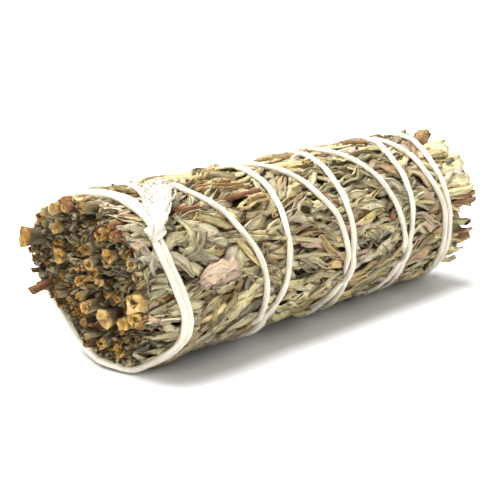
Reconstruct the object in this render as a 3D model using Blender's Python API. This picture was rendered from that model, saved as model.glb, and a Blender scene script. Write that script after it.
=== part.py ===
"""A dried sage bunch lying on its side: leafy sprigs pressed together and bound with cotton string.

The bunch's axis runs along X. The cut butts are at -X and the leaf tips at +X. It rests on z = 0.
Places on the bunch are given as (x, turn, radius): turn is the angle round the axis, 0 at the top,
90 degrees at the front (-Y), 180 underneath and 270 at the back.
"""

import math
import random

import bmesh
import bpy
from mathutils import Matrix, Vector

MM = 0.001

# Driving dimensions, in millimetres.
BUNCH_LENGTH = 104.0
LEAF_RADIUS = 16.2
AXIS_HEIGHT = 15.6
STRING_DIAMETER = 1.6

# How the sprigs share the round section.
OUTER_SPRIGS = 10
RING_SPRIGS = 5
CENTRE_RADIUS = 3.2
RING_RADIUS = 7.6
CORE_DEPTH = 1.35
SIDE_GAP = 0.2
LAYER_GAP = 0.35
BUNCH_TWIST = 15.0
SEAM_WANDER = 3.2
SEAM_WAVELENGTH = 68.0

# Where the leafy mass ends, before the stems and leaf tips that stand out of it.
BUTT_CORE_X = -46.5
TIP_CORE_X = 43.5
END_SLANT = 1.5
CORE_STATIONS = 7

# Leaves, larger than life so that they cover the bunch.
LEAVES_PER_SPRIG = 11
OUTER_SEEDS = [600, 601, 402, 303, 404, 305, 306, 607, 208, 409]
LEAF_LENGTH = (14.0, 19.0)
LEAF_WIDTH = (4.8, 6.4)
LEAF_RIDGE = 0.8
LEAF_ROOT_SINK = 0.7
LEAF_LIFT = (0.4, 1.0)
TIP_LEAF_RADII = (14.6, 11.4)
LEAF_SHAPE = ((0.0, 0.5), (0.34, 1.0), (0.74, 0.88), (1.0, 0.22))

# Cut stems: (radius from the axis, place across the sprig from -1 to 1, thickness) for each.
OUTER_STEMS = (
    (13.4, -0.48, 3.0),
    (13.5, 0.46, 2.3),
    (10.4, -0.42, 2.2),
    (10.7, 0.44, 2.8),
)
RING_STEMS = ((5.9, -0.5, 2.4), (5.9, 0.5, 2.1), (5.0, 0.0, 1.8))
CENTRE_STEMS = ((0.0, 0.0, 2.6),)
STEM_REACH = (1.4, 4.4)
STEM_ROOT = 5.0
LONGEST_STEM_REACH = 5.0

# The string's route, from the knot at the butt end out to the tips and back: (turn, x).
STRING_RUN = (
    (46, -40.8), (36, -38.0), (24, -34.4), (14, -31.0), (10, -29.2), (13, -28.3), (20, -27.8),
    (30, -26.3), (40, -24.4), (52, -23.0), (64, -21.2), (77, -19.3), (90, -18.0), (110, -16.9),
    (130, -16.0), (180, -14.0), (270, -9.5),
    (360, -5.0), (381, -1.3), (408, 2.2), (424, 4.6), (441, 5.7), (453, 6.6), (465, 7.2),
    (490, 8.6), (540, 10.5), (630, 13.8), (720, 17.3), (748, 20.2), (767, 22.3), (785, 23.8),
    (804, 25.2), (822, 26.7), (840, 28.2), (900, 31.0), (990, 34.3), (1080, 36.6), (1114, 38.0),
    (1134, 38.8), (1154, 40.6), (1174, 41.2), (1194, 42.4), (1214, 44.0), (1260, 46.2),
    (1350, 46.8), (1440, 46.0), (1474, 43.0), (1494, 42.5), (1512, 42.6), (1534, 43.1),
    (1554, 44.3), (1572, 45.4), (1590, 45.6), (1620, 43.4), (1710, 38.4), (1800, 35.0),
    (1826, 31.4), (1848, 30.2), (1866, 29.5), (1883, 28.4), (1902, 27.2), (1922, 25.7),
    (1980, 21.0), (2070, 16.0), (2160, 10.8), (2182, 9.5), (2204, 8.6), (2221, 8.4), (2239, 8.2),
    (2256, 7.9), (2268, 7.1), (2290, 4.4), (2340, 0.5), (2430, -3.5), (2520, -8.9), (2555, -9.6),
    (2575, -10.4), (2608, -11.6), (2624, -12.4), (2639, -13.8), (2651, -15.6), (2700, -20.0),
    (2790, -28.0), (2880, -35.6), (2905, -38.4), (2922, -41.0),
)
TURN_BACK = 1440
# The doubled band round the butt end: (turn, x) of its middle, once round.
BUTT_BAND = (
    (0, -43.2), (11, -41.9), (23, -41.4), (42, -42.0), (62, -41.8), (75, -40.9), (85, -39.8),
    (97, -38.3), (110, -37.1), (122, -36.7), (135, -38.2), (150, -41.3), (165, -43.6),
    (180, -44.7), (225, -45.4), (270, -45.2), (315, -44.5),
)
BAND_START = 42
BAND_SPACING = 1.7
STRING_SEAT = 0.3
STRING_STEP = 5.8
STRING_GAP = 0.25
STRING_OVER_SHARE = 0.6
GROOVE_CLEARANCE = 0.25
GROOVE_SIDES = 4
FLOOR_CLEARANCE = 0.12

# The knot and the frayed tail beside it: (turn, x) of each, then half sizes across, along and out.
KNOT = ((46, -41.4), (2.0, 2.3, 1.25))
FRAYED_TAIL = (((33, -38.0), (2.0, 4.4, 1.3)), ((14, -33.4), (2.3, 4.6, 1.3)))
TAIL_LEAN = 52.0

LEAVES = ((0.56, 0.52, 0.40, 1.0), 0.85)
STEMS = ((0.40, 0.29, 0.17, 1.0), 0.8)
COTTON = ((0.88, 0.86, 0.80, 1.0), 0.9)


def clear_scene():
    for obj in list(bpy.data.objects):
        bpy.data.objects.remove(obj)


def collection_named(name):
    made = bpy.data.collections.new(name)
    bpy.context.scene.collection.children.link(made)
    return made


def material(name, finish):
    colour, roughness = finish
    made = bpy.data.materials.new(name)
    made.use_nodes = True
    shader = made.node_tree.nodes["Principled BSDF"]
    shader.inputs["Base Color"].default_value = colour
    shader.inputs["Roughness"].default_value = roughness
    shader.inputs["Metallic"].default_value = 0.0
    made.diffuse_color = colour
    return made


def place(x, turn, radius):
    """A point of the bunch, in metres."""
    angle = math.radians(turn)
    across, up = -radius * math.sin(angle), radius * math.cos(angle)
    return Vector((x, across, AXIS_HEIGHT + up)) * MM


def bunch_radius(x):
    """The leaves' outer radius, fullest past the middle of the bunch."""
    return LEAF_RADIUS + 0.15 * math.cos(math.pi * (x - 12.0) / 75.0)


def seam(index, count, x):
    """The turn of the gap between one sprig and the next, which wanders along the bunch."""
    wander = SEAM_WANDER * math.sin(2.0 * math.pi * x / SEAM_WAVELENGTH + 1.7 * (index % count))
    return 360.0 * index / count + BUNCH_TWIST * x / BUNCH_LENGTH + wander


def across_sprig(index, count, x, radius, share):
    """The turn that lies this share of the way from a sprig's middle (0) to its side (-1 or 1)."""
    margin = math.degrees(SIDE_GAP / radius)
    low = seam(index, count, x) + margin
    high = seam(index + 1, count, x) - margin
    return (low + high) / 2.0 + share * (high - low) / 2.0


def end_slant(turn, radius):
    """The cut ends lean: the back of the bunch reaches further towards the butt end."""
    return END_SLANT * math.sin(math.radians(turn)) * radius / LEAF_RADIUS


def add_object(mesh_name, bm, collection):
    mesh = bpy.data.meshes.new(mesh_name)
    bmesh.ops.recalc_face_normals(bm, faces=bm.faces)
    bm.to_mesh(mesh)
    bm.free()
    obj = bpy.data.objects.new(mesh_name, mesh)
    collection.objects.link(obj)
    return obj


def loft(name, sections, collection):
    """A closed solid through rings of points, all with the same number of them."""
    bm = bmesh.new()
    rings = [[bm.verts.new(point) for point in ring] for ring in sections]
    size = len(rings[0])
    for near, far in zip(rings, rings[1:]):
        for i in range(size):
            j = (i + 1) % size
            bm.faces.new((near[i], near[j], far[j], far[i]))
    bm.faces.new(rings[0])
    bm.faces.new(rings[-1])
    return add_object(name, bm, collection)


def core_ends(turn, radius):
    lean = end_slant(turn, radius)
    return BUTT_CORE_X + lean, TIP_CORE_X + lean * 0.5


def wedge_core(name, index, count, inner, outer_of, collection):
    """The packed middle of a sprig: a wedge of the bunch, which its leaves and stems stand out of."""
    sections = []
    for k in range(CORE_STATIONS):
        share = k / (CORE_STATIONS - 1)
        ring = []
        for across, reach in ((-1, 0), (1, 0), (1, 1), (0.34, 1), (-0.34, 1), (-1, 1)):
            rough_x = BUTT_CORE_X + share * (TIP_CORE_X - BUTT_CORE_X)
            radius = outer_of(rough_x) if reach else inner
            middle = across_sprig(index, count, rough_x, radius, across)
            start, end = core_ends(middle, radius)
            x = start + share * (end - start)
            ring.append(place(x, across_sprig(index, count, x, radius, across), radius))
        sections.append(ring)
    return loft(name, sections, collection)


def centre_core(name, collection):
    sections = []
    for x in (BUTT_CORE_X, 0.0, TIP_CORE_X):
        radius = CENTRE_RADIUS - LAYER_GAP
        ring = [place(x, 60.0 * k + 10.0, radius) for k in range(6)]
        sections.append(ring)
    return loft(name, sections, collection)


def leaf(name, index, count, root, lean, size, lift, collection):
    """A pressed leaf: a ridged blade with a waved edge, lying round the bunch inside its sprig."""
    x_root, share_root, radius = root
    length, width, wave = size
    sections = []
    for k, (along, wide) in enumerate(LEAF_SHAPE):
        angle = math.radians(lean) * (1.0 - 0.35 * along)
        ring = []
        for side in (-1, 0, 1):
            half = side * wide * width / 2.0
            x = x_root + length * along * math.cos(angle) - half * math.sin(angle)
            sideways = length * along * math.sin(angle) + half * math.cos(angle)
            room = radius * math.radians(
                seam(index + 1, count, x) - seam(index, count, x)
            ) / 2.0 - SIDE_GAP
            share = math.tanh(share_root + sideways / room)
            height = radius - LEAF_ROOT_SINK + (lift + LEAF_ROOT_SINK) * along
            if side == 0:
                height += LEAF_RIDGE
            else:
                height += wave * (-1.0) ** (k + (side > 0))
            ring.append(place(x, across_sprig(index, count, x, height, share), height))
        sections.append(ring)
    return loft(name, sections, collection)


def sprig_leaves(name, index, rng, collection):
    """Leaves by turns to the left and right of the sprig's middle, root towards the butts."""
    span = TIP_CORE_X - 3.0 - (BUTT_CORE_X + 1.0)
    for k in range(LEAVES_PER_SPRIG):
        side = 1 if k % 2 else -1
        x = BUTT_CORE_X + 1.0 + span * (k + rng.uniform(0.0, 0.6)) / LEAVES_PER_SPRIG
        share = side * rng.uniform(0.15, 0.55)
        lean = -side * rng.uniform(4.0, 26.0) if k % 3 else side * rng.uniform(4.0, 18.0)
        length = rng.uniform(*LEAF_LENGTH)
        width = rng.uniform(*LEAF_WIDTH)
        radius = bunch_radius(x) - CORE_DEPTH + rng.uniform(-0.1, 0.15)
        size = (min(length, BUNCH_LENGTH / 2.0 - 1.5 - x), width, rng.uniform(0.1, 0.22))
        leaf(f"{name}_leaf_{k}", index, OUTER_SPRIGS, (x, share, radius), lean, size,
             rng.uniform(*LEAF_LIFT), collection)


def tip_leaves(name, index, count, radii, rng, collection):
    """Leaf tips that stand out of the far end, from the inner layers."""
    for k, radius in enumerate(radii):
        x = TIP_CORE_X - rng.uniform(5.0, 8.0)
        reach = BUNCH_LENGTH / 2.0 - rng.uniform(0.6, 4.0)
        size = (reach - x, 3.2 + 0.1 * radius, 0.12)
        share = 0.35 if (k + index) % 2 else -0.35
        leaf(f"{name}_tip_{k}", index, count, (x, share, radius), -14.0 * share, size,
             rng.uniform(-0.5, 0.6), collection)


def stem(name, start, end, thickness, sides, collection):
    """A cut twig from one point to another, a little thicker at the butt."""
    axis = end - start
    bpy.ops.mesh.primitive_cone_add(
        vertices=sides,
        radius1=0.45 * thickness * MM,
        radius2=0.5 * thickness * MM,
        depth=axis.length,
    )
    obj = bpy.context.active_object
    obj.name = name
    turn_to = axis.to_track_quat("Z", "Y").to_matrix().to_4x4()
    obj.matrix_world = Matrix.Translation((start + end) / 2.0) @ turn_to
    for old in obj.users_collection:
        old.objects.unlink(obj)
    collection.objects.link(obj)
    return obj


def butt_stems(name, index, count, table, rng, collection):
    for k, (radius, share, thickness) in enumerate(table):
        thickness *= rng.uniform(0.85, 1.12)
        turn = across_sprig(index, count, BUTT_CORE_X, max(radius, 1.0), share)
        lean = end_slant(turn, radius)
        reach = rng.uniform(*STEM_REACH)
        if name == "outer_sprig_09" and k == 1:
            reach = LONGEST_STEM_REACH + END_SLANT
        start_x = BUTT_CORE_X + lean + STEM_ROOT
        end_x = max(BUTT_CORE_X + lean - reach, -BUNCH_LENGTH / 2.0)
        start_turn = across_sprig(index, count, start_x, max(radius, 1.0), share)
        end_turn = across_sprig(index, count, end_x, max(radius, 1.0), share)
        stem(f"{name}_stem_{k}", place(start_x, start_turn, radius), place(end_x, end_turn, radius),
             thickness, 6 if thickness > 2.2 else 5, collection)


def tip_stem(name, index, count, radius, share, rng, collection):
    """One thin twig that shows between the leaf tips."""
    start_x = TIP_CORE_X - 4.0
    end_x = TIP_CORE_X + rng.uniform(3.0, 7.0)
    start_turn = across_sprig(index, count, start_x, radius, share)
    end_turn = across_sprig(index, count, end_x, radius, share)
    stem(f"{name}_twig", place(start_x, start_turn, radius), place(end_x, end_turn, radius),
         1.6, 5, collection)


def smooth_route(route, spacing):
    """(turn, x) points at an even spacing along a smooth curve through the route's points."""
    scale = math.radians(1.0) * LEAF_RADIUS
    points = [Vector((turn * scale, x)) for turn, x in route]
    fine = []
    for i in range(len(points) - 1):
        before = points[max(i - 1, 0)]
        a, b = points[i], points[i + 1]
        after = points[min(i + 2, len(points) - 1)]
        span = (b - a).length
        slope_a = (b - before) / max((b - before).length, 1e-6) * span
        slope_b = (after - a) / max((after - a).length, 1e-6) * span
        for s in range(24):
            t = s / 24.0
            fine.append(
                a * (2 * t**3 - 3 * t**2 + 1)
                + slope_a * (t**3 - 2 * t**2 + t)
                + b * (-2 * t**3 + 3 * t**2)
                + slope_b * (t**3 - t**2)
            )
    fine.append(points[-1])
    lengths = [0.0]
    for a, b in zip(fine, fine[1:]):
        lengths.append(lengths[-1] + (b - a).length)
    count = round(lengths[-1] / spacing)
    even, k = [], 0
    for n in range(count + 1):
        target = lengths[-1] * n / count
        while k < len(fine) - 2 and lengths[k + 1] < target:
            k += 1
        t = (target - lengths[k]) / max(lengths[k + 1] - lengths[k], 1e-9)
        point = fine[k].lerp(fine[k + 1], t)
        even.append((point.x / scale, point.y))
    return even


def nearest_strand(turn, x, strand):
    """How far another strand passes from this place, measured over the bunch's surface."""
    scale = math.radians(1.0) * LEAF_RADIUS
    best = 1e9
    for other_turn, other_x in strand:
        apart = (turn - other_turn + 180.0) % 360.0 - 180.0
        best = min(best, math.hypot(apart * scale, x - other_x))
    return best


def floor_limit(turn, radius):
    """The string is pressed up where it would pass under the bunch's resting level."""
    down = -math.cos(math.radians(turn))
    if down <= 0.1:
        return radius
    return min(radius, (AXIS_HEIGHT - STRING_DIAMETER / 2.0 - FLOOR_CLEARANCE) / down)


def string_points(step):
    """The run out and back as points in metres. The way back passes over the way out."""
    fine = smooth_route(STRING_RUN, 0.6)
    out = [p for p in fine if p[0] <= TURN_BACK]
    back = [p for p in fine if p[0] > TURN_BACK]
    points = []
    for turn, x in smooth_route(STRING_RUN, step):
        way_out = turn <= TURN_BACK
        seat = bunch_radius(x) + STRING_SEAT
        apart = nearest_strand(turn, x, back if way_out else out)
        need = math.sqrt(max((STRING_DIAMETER + STRING_GAP) ** 2 - apart**2, 0.0))
        if abs(turn - TURN_BACK) < 60.0:
            need = 0.0
        over = floor_limit(turn, seat + STRING_OVER_SHARE * need)
        radius = min(floor_limit(turn, seat), over - need) if way_out else over
        points.append(place(x, turn, radius))
    return points


def band_route():
    """Twice round the butt end, from the knot and back to it, the second time beside the first."""
    loop = [p for p in BUTT_BAND if p[0] >= BAND_START]
    loop += [(turn + 360, x) for turn, x in BUTT_BAND if turn < BAND_START]
    route = []
    for lap, side in ((0, -0.5), (1, 0.5)):
        route += [(turn + 360 * lap, x + side * BAND_SPACING) for turn, x in loop]
    route.append((BAND_START + 720, loop[0][1] + 0.5 * BAND_SPACING))
    return route


def band_points(step):
    points = []
    for turn, x in smooth_route(band_route(), step):
        points.append(place(x, turn, floor_limit(turn, bunch_radius(x) + STRING_SEAT)))
    return points


def tube(name, points, radius, sides, collection):
    """A string or cutter that follows the points, as a closed mesh of 4 or 6 sides."""
    curve = bpy.data.curves.new(name, "CURVE")
    curve.dimensions = "3D"
    curve.bevel_depth = radius * MM
    curve.bevel_resolution = sides // 2 - 2
    curve.use_fill_caps = True
    spline = curve.splines.new("POLY")
    spline.points.add(len(points) - 1)
    for slot, point in zip(spline.points, points):
        slot.co = (*point, 1.0)
    guide = bpy.data.objects.new(name + "_guide", curve)
    bpy.context.scene.collection.objects.link(guide)
    bpy.context.view_layer.update()
    evaluated = guide.evaluated_get(bpy.context.evaluated_depsgraph_get())
    mesh = bpy.data.meshes.new_from_object(evaluated)
    bm = bmesh.new()
    bm.from_mesh(mesh)
    bmesh.ops.remove_doubles(bm, verts=bm.verts, dist=1e-6)
    bpy.data.objects.remove(guide)
    bpy.data.meshes.remove(mesh)
    return add_object(name, bm, collection)


def string_lump(name, spot, sizes, lean, collection):
    """A rounded lump of string lying on the bunch, long way turned by lean from the axis."""
    turn, x = spot
    bpy.ops.mesh.primitive_ico_sphere_add(subdivisions=2, radius=1.0)
    obj = bpy.context.active_object
    obj.name = name
    out = (place(x, turn, 2.0) - place(x, turn, 1.0)).normalized()
    axis = Matrix.Rotation(math.radians(lean), 3, out) @ Vector((1.0, 0.0, 0.0))
    side = out.cross(axis)
    across, along, outward = sizes
    columns = Matrix((axis * along * MM, side * across * MM, out * outward * MM)).transposed()
    centre = place(x, turn, bunch_radius(x) + STRING_SEAT + 0.3)
    obj.data.transform(Matrix.Translation(centre) @ columns.to_4x4())
    for old in obj.users_collection:
        old.objects.unlink(obj)
    collection.objects.link(obj)
    return obj


def combine(base, collection, operation):
    """Joins the collection's solids to the base, or cuts them from it, for good."""
    modifier = base.modifiers.new(operation.title(), "BOOLEAN")
    modifier.operation = operation
    modifier.operand_type = "COLLECTION"
    modifier.collection = collection
    modifier.solver = "MANIFOLD"
    bpy.context.view_layer.update()
    evaluated = base.evaluated_get(bpy.context.evaluated_depsgraph_get())
    mesh = bpy.data.meshes.new_from_object(evaluated)
    base.modifiers.clear()
    old = base.data
    base.data = mesh
    bpy.data.meshes.remove(old)


def keep_main_body(obj):
    """Drops loose scraps and fills sealed hollows, so that one closed body is left."""
    bm = bmesh.new()
    bm.from_mesh(obj.data)
    bmesh.ops.remove_doubles(bm, verts=bm.verts, dist=2e-6)
    bmesh.ops.dissolve_degenerate(bm, edges=bm.edges, dist=2e-6)
    bm.faces.ensure_lookup_table()
    unseen, bodies = set(bm.faces), []
    while unseen:
        body, front = set(), [unseen.pop()]
        while front:
            face = front.pop()
            body.add(face)
            for edge in face.edges:
                for other in edge.link_faces:
                    if other in unseen:
                        unseen.discard(other)
                        front.append(other)
        bodies.append(body)
    main = max(bodies, key=lambda body: sum(face.calc_area() for face in body))
    scraps = [face for face in bm.faces if face not in main]
    bmesh.ops.delete(bm, geom=scraps, context="FACES")
    bm.to_mesh(obj.data)
    bm.free()


def empty_out(collection):
    for obj in list(collection.objects):
        bpy.data.objects.remove(obj)


def floor_block(collection):
    """What lies below z = 0, cut away so that the bunch rests on the leaves pressed flat there."""
    bpy.ops.mesh.primitive_cube_add(size=1.0)
    obj = bpy.context.active_object
    obj.name = "floor_block"
    depth = 20.0
    obj.data.transform(
        Matrix.Translation((0.0, 0.0, -depth / 2.0 * MM))
        @ Matrix.Diagonal((2.0 * BUNCH_LENGTH * MM, BUNCH_LENGTH * MM, depth * MM, 1.0))
    )
    for old in obj.users_collection:
        old.objects.unlink(obj)
    collection.objects.link(obj)


def string_grooves(collection):
    """Where the string presses into the leaves, one cutter for each turn or so."""
    radius = (STRING_DIAMETER / 2.0 + GROOVE_CLEARANCE) / math.cos(math.pi / GROOVE_SIDES)
    per_cutter = 20
    for kind, points in (("run", string_points(STRING_STEP)), ("band", band_points(STRING_STEP))):
        for k in range(0, len(points) - 1, per_cutter):
            stretch = points[k : k + per_cutter + 2]
            tube(f"groove_{kind}_{k}", stretch, radius, GROOVE_SIDES, collection)


def build_string(parts, pieces, finish):
    string = tube("string", string_points(STRING_STEP), STRING_DIAMETER / 2.0, 6, parts)
    tube("band", band_points(STRING_STEP), STRING_DIAMETER / 2.0, 6, pieces)
    string_lump("knot", *KNOT, 20.0, pieces)
    for k, (spot, sizes) in enumerate(FRAYED_TAIL):
        string_lump(f"frayed_tail_{k}", spot, sizes, TAIL_LEAN, pieces)
    combine(string, pieces, "UNION")
    empty_out(pieces)
    keep_main_body(string)
    string.data.materials.append(finish)


def finish_sprig(sprig, pieces, cutters, finish):
    combine(sprig, pieces, "UNION")
    empty_out(pieces)
    combine(sprig, cutters, "DIFFERENCE")
    keep_main_body(sprig)
    sprig.data.materials.append(finish)


def build_outer_sprig(index, parts, pieces, cutters, finish):
    name = f"outer_sprig_{index + 1:02d}"
    rng = random.Random(OUTER_SEEDS[index])
    sprig = wedge_core(name, index, OUTER_SPRIGS, RING_RADIUS + LAYER_GAP,
                       lambda x: bunch_radius(x) - CORE_DEPTH, parts)
    sprig_leaves(name, index, rng, pieces)
    tip_leaves(name, index, OUTER_SPRIGS, TIP_LEAF_RADII, rng, pieces)
    butt_stems(name, index, OUTER_SPRIGS, OUTER_STEMS, rng, pieces)
    tip_stem(name, index, OUTER_SPRIGS, 10.0, 0.3, rng, pieces)
    finish_sprig(sprig, pieces, cutters, finish)


def build_ring_sprig(index, parts, pieces, cutters, finish):
    name = f"inner_sprig_{index + 1:02d}"
    rng = random.Random(200 + index)
    sprig = wedge_core(name, index, RING_SPRIGS, CENTRE_RADIUS + 2.2 * LAYER_GAP,
                       lambda x: RING_RADIUS - LAYER_GAP, parts)
    tip_leaves(name, index, RING_SPRIGS, (5.2,), rng, pieces)
    butt_stems(name, index, RING_SPRIGS, RING_STEMS, rng, pieces)
    tip_stem(name, index, RING_SPRIGS, 5.6, 0.5, rng, pieces)
    finish_sprig(sprig, pieces, cutters, finish)


def build_centre_sprig(parts, pieces, cutters, finish):
    name = f"inner_sprig_{RING_SPRIGS + 1:02d}"
    rng = random.Random(300)
    sprig = centre_core(name, parts)
    butt_stems(name, 0, 1, CENTRE_STEMS, rng, pieces)
    tip_stem(name, 0, 1, 1.0, 0.0, rng, pieces)
    finish_sprig(sprig, pieces, cutters, finish)


def main():
    clear_scene()
    parts = collection_named("Sage bunch")
    pieces = collection_named("Pieces to join")
    cutters = collection_named("Cutters")
    leaves = material("dried_sage", LEAVES)
    stems = material("sage_stems", STEMS)
    cotton = material("cotton_string", COTTON)
    string_grooves(cutters)
    floor_block(cutters)
    for index in range(OUTER_SPRIGS):
        build_outer_sprig(index, parts, pieces, cutters, leaves)
    for index in range(RING_SPRIGS):
        build_ring_sprig(index, parts, pieces, cutters, stems)
    build_centre_sprig(parts, pieces, cutters, stems)
    build_string(parts, pieces, cotton)
    for cutter in cutters.objects:
        cutter.hide_render = True
        cutter.display_type = "WIRE"


main()
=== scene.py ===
import bpy
import bmesh
import random
from math import atan2, cos, degrees, exp, hypot, pi, radians, sin, sqrt, tan
from mathutils import Matrix, Vector, kdtree, noise


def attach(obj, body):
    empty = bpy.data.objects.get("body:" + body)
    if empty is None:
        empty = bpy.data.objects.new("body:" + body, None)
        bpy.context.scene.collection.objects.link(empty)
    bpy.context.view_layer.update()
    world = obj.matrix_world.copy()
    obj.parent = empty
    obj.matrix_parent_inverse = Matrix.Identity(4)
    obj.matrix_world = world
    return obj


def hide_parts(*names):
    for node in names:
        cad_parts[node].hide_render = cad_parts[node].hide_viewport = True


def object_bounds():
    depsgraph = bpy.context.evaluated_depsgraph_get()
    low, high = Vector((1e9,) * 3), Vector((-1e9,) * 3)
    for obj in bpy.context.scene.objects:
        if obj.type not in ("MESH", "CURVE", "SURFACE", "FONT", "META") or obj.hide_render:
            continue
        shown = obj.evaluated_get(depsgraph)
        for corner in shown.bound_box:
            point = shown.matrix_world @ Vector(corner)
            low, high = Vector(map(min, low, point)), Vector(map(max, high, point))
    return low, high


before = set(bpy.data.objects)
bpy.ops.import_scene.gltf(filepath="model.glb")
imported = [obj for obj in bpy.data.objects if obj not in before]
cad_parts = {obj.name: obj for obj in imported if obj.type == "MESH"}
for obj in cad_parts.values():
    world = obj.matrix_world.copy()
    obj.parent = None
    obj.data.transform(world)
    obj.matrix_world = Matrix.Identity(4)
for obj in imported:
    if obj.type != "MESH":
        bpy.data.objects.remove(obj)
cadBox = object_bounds()
mm = 0.001

# The bunch lies along X, cut ends at -X. Places on it are (x, turn, radius) in millimetres and
# degrees: turn 0 is the top, 90 the front (-Y), 180 underneath, 270 the back.
bunch = {"axisHeight": 15.6, "leafRadius": 16.2, "bulge": 0.15, "wrapRadius": 16, "looseRadius": 14,
         "sprigs": 10, "twist": 15, "wander": 3.2, "wavelength": 68, "length": 104,
         "lowX": -51.8, "highX": 50.9, "highest": 17.3, "floorGap": 0.06,
         "face": -47, "faceLean": 2.6, "cutBack": 2,
         "drawnIn": 0.17, "drawnAt": 222, "drawnWidth": 36, "drawnFrom": -35, "drawnOver": 10}


def cosOf(turn):
    return cos(radians(turn))


def sinOf(turn):
    return sin(radians(turn))


def clamp(value, low=0, high=1):
    return min(max(value, low), high)


def bell(value, middle, width):
    return exp(-((value - middle) / width) ** 2)


def turnPast(turn, other):
    return (turn - other + 180) % 360 - 180


def fromAxis(x, turn, radius):
    return Vector((x, -radius * sinOf(turn), radius * cosOf(turn)))


def turnOf(y, z):
    return degrees(atan2(-y, z)) % 360


def ripple(a, b, c):
    return noise.noise(Vector((a, b, c)))


def spotIn(rng, reach):
    # a (radius, turn) spread evenly over the bunch's section
    return reach * sqrt(rng.random()), rng.uniform(0, 360)


def drawnIn(x, turn):
    # low down at the back the butts are drawn in a little
    along = clamp((bunch["drawnFrom"] - x) / bunch["drawnOver"])
    around = bell(turnPast(turn, bunch["drawnAt"]), 0, bunch["drawnWidth"])
    return 1 - bunch["drawnIn"] * along * along * (3 - 2 * along) * around


def place(x, turn, radius):
    radius *= drawnIn(x, turn)
    return Vector((x, -radius * sinOf(turn), bunch["axisHeight"] + radius * cosOf(turn))) * mm


def bunchRadius(x):
    return bunch["leafRadius"] + bunch["bulge"] * cos(pi * (x - 12) / 75)


def seamTurn(index, x):
    sway = sin(2 * pi * x / bunch["wavelength"] + 1.7 * (index % bunch["sprigs"]))
    return (360 * index / bunch["sprigs"] + bunch["twist"] * x / bunch["length"]
            + bunch["wander"] * sway)


def faceX(turn, radius):
    # the butts' face leans: it reaches furthest at the top and is cut back underneath
    lean = radius / bunch["leafRadius"]
    cutBack = bunch["cutBack"] * lean * lean * bell(turn % 360, 225, 42)
    return bunch["face"] - bunch["faceLean"] * lean * cosOf(turn + 12) + cutBack


# string route, as in the solids; the band follows the drawn-in butts
stringRun = [
    (46, -40.8), (36, -38), (24, -34.4), (14, -31), (10, -29.2), (13, -28.3), (20, -27.8), (30, -26.3),
    (40, -24.4), (52, -23), (64, -21.2), (77, -19.3), (90, -18), (110, -16.9), (130, -16), (180, -14),
    (270, -9.5), (360, -5), (381, -1.3), (408, 2.2), (424, 4.6), (441, 5.7), (453, 6.6), (465, 7.2),
    (490, 8.6), (540, 10.5), (630, 13.8), (720, 17.3), (748, 20.2), (767, 22.3), (785, 23.8),
    (804, 25.2), (822, 26.7), (840, 28.2), (900, 31), (990, 34.3), (1080, 36.6), (1114, 38),
    (1134, 38.8), (1154, 40.6), (1174, 41.2), (1194, 42.4), (1214, 44), (1260, 46.2), (1350, 46.8),
    (1440, 46), (1474, 43), (1494, 42.5), (1512, 42.6), (1534, 43.1), (1554, 44.3), (1572, 45.4),
    (1590, 45.6), (1620, 43.4), (1710, 38.4), (1800, 35), (1826, 31.4), (1848, 30.2), (1866, 29.5),
    (1883, 28.4), (1902, 27.2), (1922, 25.7), (1980, 21), (2070, 16), (2160, 10.8), (2182, 9.5),
    (2204, 8.6), (2221, 8.4), (2239, 8.2), (2256, 7.9), (2268, 7.1), (2290, 4.4), (2340, 0.5),
    (2430, -3.5), (2520, -8.9), (2555, -9.6), (2575, -10.4), (2608, -11.6), (2624, -12.4),
    (2639, -13.8), (2651, -15.6), (2700, -20), (2790, -28), (2880, -35.6), (2905, -38.4), (2922, -41)]
buttBand = [
    (0, -43.2), (11, -41.9), (23, -41.4), (42, -42), (62, -41.8), (75, -40.9), (85, -39.8),
    (97, -38.3), (110, -37.1), (122, -36.7), (135, -38.2), (150, -41.2), (165, -43.2), (180, -43.8),
    (202, -43.1), (225, -42.6), (248, -43.4), (270, -44.5), (315, -44.5)]
string = {"diameter": 1.6, "seat": 0.3, "gap": -0.35, "overShare": 0.6, "turnBack": 1440, "level": 60,
          "bandStart": 42, "bandSpacing": 1.25, "floorGap": 0.12, "step": 0.7, "measuredAt": 16.5,
          "drawn": 0.58, "bandDrawn": 0.62, "sides": 12, "lobes": 0.1, "pitch": 7}
press = {"measuredAt": 16.4, "depth": 0.62, "halfWidth": 0.5, "pastBand": 1.2, "buttRadius": 16.6,
         "cutBack": 0.9, "slope": 0.5}


def smoothRoute(route, spacing):
    # a smooth curve through (turn, x) points, as evenly spaced (x, turn) ones
    scale, pieces = radians(1) * string["measuredAt"], 24
    points = [Vector((turn * scale, x)) for turn, x in route]
    fine = []
    for i in range(len(points) - 1):
        a, b = points[i], points[i + 1]
        before, after = points[max(i - 1, 0)], points[min(i + 2, len(points) - 1)]
        span = (b - a).length
        slopeA = (b - before) / max((b - before).length, 1e-6) * span
        slopeB = (after - a) / max((after - a).length, 1e-6) * span
        for s in range(pieces):
            t = s / pieces
            fine.append(a * (2 * t**3 - 3 * t**2 + 1) + slopeA * (t**3 - 2 * t**2 + t)
                        + b * (-2 * t**3 + 3 * t**2) + slopeB * (t**3 - t**2))
    fine.append(points[-1])
    lengths = [0]
    for a, b in zip(fine, fine[1:]):
        lengths.append(lengths[-1] + (b - a).length)
    count = round(lengths[-1] / spacing)
    even, k = [], 0
    for n in range(count + 1):
        target = lengths[-1] * n / count
        while k < len(fine) - 2 and lengths[k + 1] < target:
            k += 1
        t = (target - lengths[k]) / max(lengths[k + 1] - lengths[k], 1e-9)
        point = fine[k].lerp(fine[k + 1], t)
        even.append((point.y, point.x / scale))
    return even


def floorLimit(turn, radius, clearance):
    down = -cosOf(turn)
    if down <= 0.1:
        return radius
    return min(radius, (bunch["axisHeight"] - clearance) / down)


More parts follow.
